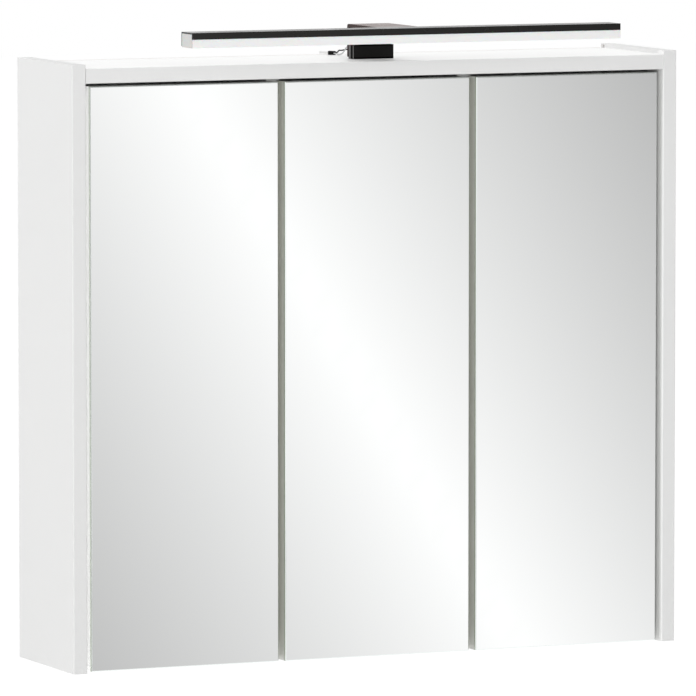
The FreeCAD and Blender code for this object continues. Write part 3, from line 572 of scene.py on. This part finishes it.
def makeFoot(settings):
    # Painted light on the black foot: a painted highlight at the sides' front edge, a painted sheen
    # band at their rear, painted shade between the two, and painted shade along the front face's
    # bottom and top rims.
    finish = Finish("satinBlack", settings)
    low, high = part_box("lamp_foot")
    depth = settings["sideDepth"]
    sheenStart, sheenEnd = settings["paintedSheenDepths"]
    bottomRim, topRim = settings["rims"]
    front = finish.slab(low.x + depth, high.x - depth, direction=sideways)
    bright = finish.slab(low.y - past, low.y + settings["brightDepth"])
    paintedSheen = finish.slab(low.y + sheenStart, low.y + sheenEnd)
    plain = finish.slab(low.z + bottomRim, high.z - topRim, direction=upright)
    side = finish.mixColor(paintedSheen, settings["paintedShade"], settings["paintedSheen"])
    side = finish.mixColor(bright, side, settings["bright"])
    face = finish.mixColor(plain, settings["paintedShade"], finish.color)
    finish.color = finish.mixColor(front, side, face)
    finish.feed()
    return finish


dress(Finish("anodisedProfile", anodised), "lamp_housing")
dress(makeDiffuser(opal), "lamp_diffuser")
dress(Finish("solderMask", solderMask), "led_board")
dress(Finish("phosphor", phosphor), "led_chips")
dress(Finish("blackChrome", blackChrome), "lamp_bracket")
dress(makeFoot(satinBlack), "lamp_foot")
print("lamp finished")

# Lead and connector.
blackRubber = {
    "shader": {"IOR": 1.5, "Specular IOR Level": 0.06},
    "tones": (200.0, (0.006, 0.006, 0.006), (0.01, 0.01, 0.01)),
    "roughness": (300.0, 0.45, 0.6),
    "grain": (3000.0, (1, 1, 1), 0.00006, 0.3),
}
greyInsulation = {
    "shader": {"IOR": 1.5},
    "tones": (200.0, (0.52, 0.53, 0.53), (0.46, 0.47, 0.47)),
    "roughness": (300.0, 0.3, 0.42),
    "grain": (2500.0, (1, 1, 1), 0.00005, 0.2),
}
paleTip = {
    "shader": {"IOR": 1.49},
    "tones": (200.0, (0.8, 0.8, 0.79), (0.73, 0.73, 0.72)),
    "roughness": (300.0, 0.28, 0.4),
    "grain": (2500.0, (1, 1, 1), 0.00005, 0.2),
}
dress(Finish("blackRubber", blackRubber), "lead_grommet", "connector_body", "lead_black", blackWire)
dress(Finish("greyInsulation", greyInsulation), "lead_grey", greyWire)
dress(Finish("paleTip", paleTip), "connector_tip")
print("lead finished")

studio = {
    "floorDrop": 0.25,  # the cabinet hangs this far above the floor
    "floorSize": 30.0,
    "floorTone": (0.9, 0.9, 0.9, 1),
    "floorLift": 0.7,  # share of plain glow in the floor, where the eye sees it
    "floorGlow": 1.24,
    "skyLevel": 0.5,
    "lampAim": (0, 0, 0.33),
    "lamps": {
        "topPanel": {"place": (0.2, 0.5, 2.4), "size": (2.6, 1.8), "power": 11},
        "leftPanel": {"place": (-4.9, -0.8, 1.9), "size": (3.0, 3.0), "power": 93},
        "keyPanel": {"place": (0.3, -5.3, 1.9), "size": (4.4, 3.2), "power": 81},
        # from above, for the top board under the lamp
        "boardPanel": {"place": (0.0, 0.0, 2.4), "size": (1.0, 1.0), "power": 10.5,
                       "lights": ("top_board",), "stops": ("back_panel",)},
        # from the left, each for the left-facing sides of one kind of gap
        "leftGapPanel": {"place": (-5.5, -0.7, -1.9), "size": (0.3, 0.3), "power": 185,
                         "lights": ("door_left", "mirror_left"), "stops": ("top_board",)},
        "middleGapPanel": {"place": (-5.5, -0.7, 0.3), "size": (0.3, 0.3), "power": 15,
                           "color": (0.97, 1.0, 0.5),
                           "lights": ("door_middle", "mirror_middle", "door_right",
                                      "mirror_right"),
                           "stops": ("top_board",)},
        "rightGapPanel": {"place": (-5.5, -0.154, 0.32), "size": (0.03, 0.6), "power": 72,
                          "lights": ("side_panel_right",), "stops": ("side_panel_left",)},
    },
}


def whiteToEye(tree):
    # 1 for what is seen straight, in a mirror or through glass, 0 for light that falls on things.
    path = tree.nodes.new("ShaderNodeLightPath")
    seen = mathNode(tree, "ADD", path.outputs["Is Camera Ray"], path.outputs["Is Glossy Ray"],
                    clamp=True)
    return mathNode(tree, "ADD", seen, path.outputs["Is Transmission Ray"], clamp=True)


def mixShaders(tree, mask, first, second):
    mixed = tree.nodes.new("ShaderNodeMixShader")
    for socket, output in zip(mixed.inputs, (mask, first, second)):
        tree.links.new(output, socket)
    return mixed.outputs[0]


def emptyTree(owner):
    owner.use_nodes = True
    owner.node_tree.nodes.clear()
    return owner.node_tree


def makeSky(settings):
    world = bpy.data.worlds.new("studioSky")
    scene.world = world
    tree = emptyTree(world)
    lit = addNode(tree, "ShaderNodeBackground", Color=(1, 1, 1, 1), Strength=settings["skyLevel"])
    seen = addNode(tree, "ShaderNodeBackground", Color=(1, 1, 1, 1), Strength=1.0)
    mixed = mixShaders(tree, whiteToEye(tree), lit.outputs[0], seen.outputs[0])
    tree.links.new(mixed, tree.nodes.new("ShaderNodeOutputWorld").inputs[0])


def makeFloor(settings):
    half = settings["floorSize"] / 2
    level = -settings["floorDrop"]
    corners = [(-half, -half, level), (half, -half, level), (half, half, level),
               (-half, half, level)]
    mesh = bpy.data.meshes.new("floor")
    mesh.from_pydata(corners, [], [(0, 1, 2, 3)])
    floor = bpy.data.objects.new("floor", mesh)
    scene.collection.objects.link(floor)
    material = bpy.data.materials.new("floorPaper")
    tree = emptyTree(material)
    paper = addNode(tree, "ShaderNodeBsdfDiffuse", Color=settings["floorTone"])
    glow = addNode(tree, "ShaderNodeEmission", Color=(1, 1, 1, 1), Strength=settings["floorGlow"])
    share = mathNode(tree, "MULTIPLY", whiteToEye(tree), settings["floorLift"])
    lifted = mixShaders(tree, share, paper.outputs[0], glow.outputs[0])
    # looked at from below, the floor isn't there
    below = tree.nodes.new("ShaderNodeNewGeometry").outputs["Backfacing"]
    clear = tree.nodes.new("ShaderNodeBsdfTransparent").outputs[0]
    oneSided = mixShaders(tree, below, lifted, clear)
    tree.links.new(oneSided, tree.nodes.new("ShaderNodeOutputMaterial").inputs[0])
    mesh.materials.append(material)


def makeLamps(lamps, aim):
    for name, lamp in lamps.items():
        data = bpy.data.lights.new(name, "AREA")
        data.shape = "RECTANGLE"
        data.size, data.size_y = lamp["size"]
        data.energy = lamp["power"]
        data.color = lamp.get("color", (1, 1, 1))
        light = bpy.data.objects.new(name, data)
        light.location = lamp["place"]
        pointAlong(light, Vector(aim) - light.location)
        light.visible_camera = light.visible_glossy = False
        scene.collection.objects.link(light)
        for use, end in (("lights", "receiver_collection"), ("stops", "blocker_collection")):
            if use in lamp:
                linked = bpy.data.collections.new(name + use.title())
                for piece in lamp[use]:
                    linked.objects.link(nodes[piece])
                setattr(light.light_linking, end, linked)


# A white card that stands in front of the cabinet and runs out on the floor towards it, with
# slanting bright bands for the mirrors to show.
bandCard = {
    "depth": 1.552,  # in front of the frame's origin
    "x": (-3.4, 3.6),
    "foot": -0.245,
    "along": (-1.445, 2.6),  # from the end on the floor to the upper edge
    "steps": (211, 122),
    "bandPoint": (0.403, 0.520),
    "bandNormal": (0.8501, 0.5267),
    "bandSpacing": 1.32,
    "peak": 1.006,
    "falloff": 0.502,  # loss of shown level per metre from a band
    "fade": 0.8,  # from the bands to white, at the card's edges
    "mirrorShare": 0.93,
}


def makeBandCard(card):
    # Shown level = peak less falloff times the distance from the nearest slanting line, turning to
    # white over the fade distance at every edge; emission is that level made linear, over what a
    # mirror gives back.
    (left, right), (start, end) = card["x"], card["along"]
    columns, rows = card["steps"]
    x, run = np.meshgrid(np.linspace(left, right, columns), np.linspace(start, end, rows))
    pointX, pointRun = card["bandPoint"]
    normalX, normalRun = card["bandNormal"]
    away = (x - pointX) * normalX + (run - pointRun) * normalRun
    half = card["bandSpacing"] / 2
    level = card["peak"] - card["falloff"] * np.abs(np.mod(away + half, 2 * half) - half)
    inner = np.minimum.reduce([x - left, right - x, run - start, end - run])
    share = np.clip(1 - inner / card["fade"], 0, 1)
    level = level + (1 - level) * share * share * (3 - 2 * share)
    linear = ((level + 0.055) / 1.055) ** 2.4 / card["mirrorShare"]
    y = np.maximum(card["foot"] - run, 0) - card["depth"]
    z = np.maximum(run, card["foot"])
    index = np.arange(rows * columns).reshape(rows, columns)
    corners = np.stack([index[:-1, :-1], index[:-1, 1:], index[1:, 1:], index[1:, :-1]], -1)
    mesh = bpy.data.meshes.new("bandCard")
    mesh.from_pydata(np.stack([x, y, z], -1).reshape(-1, 3), [], corners.reshape(-1, 4).tolist())
    shown = mesh.attributes.new("shown", "FLOAT", "POINT")
    shown.data.foreach_set("value", linear.ravel().astype(np.float32))
    piece = bpy.data.objects.new("bandCard", mesh)
    scene.collection.objects.link(piece)
    piece.visible_camera = piece.visible_diffuse = piece.visible_shadow = False
    piece.visible_transmission = False
    material = bpy.data.materials.new("cardPaper")
    tree = emptyTree(material)
    glow = addNode(tree, "ShaderNodeEmission", Color=(1, 1, 1, 1))
    shownLevel = addNode(tree, "ShaderNodeAttribute", attribute_name="shown")
    tree.links.new(shownLevel.outputs["Fac"], glow.inputs["Strength"])
    tree.links.new(glow.outputs[0], tree.nodes.new("ShaderNodeOutputMaterial").inputs[0])
    mesh.materials.append(material)


makeSky(studio)
makeFloor(studio)
makeLamps(studio["lamps"], studio["lampAim"])
makeBandCard(bandCard)
scene.view_settings.view_transform = "Standard"
print("studio ready")
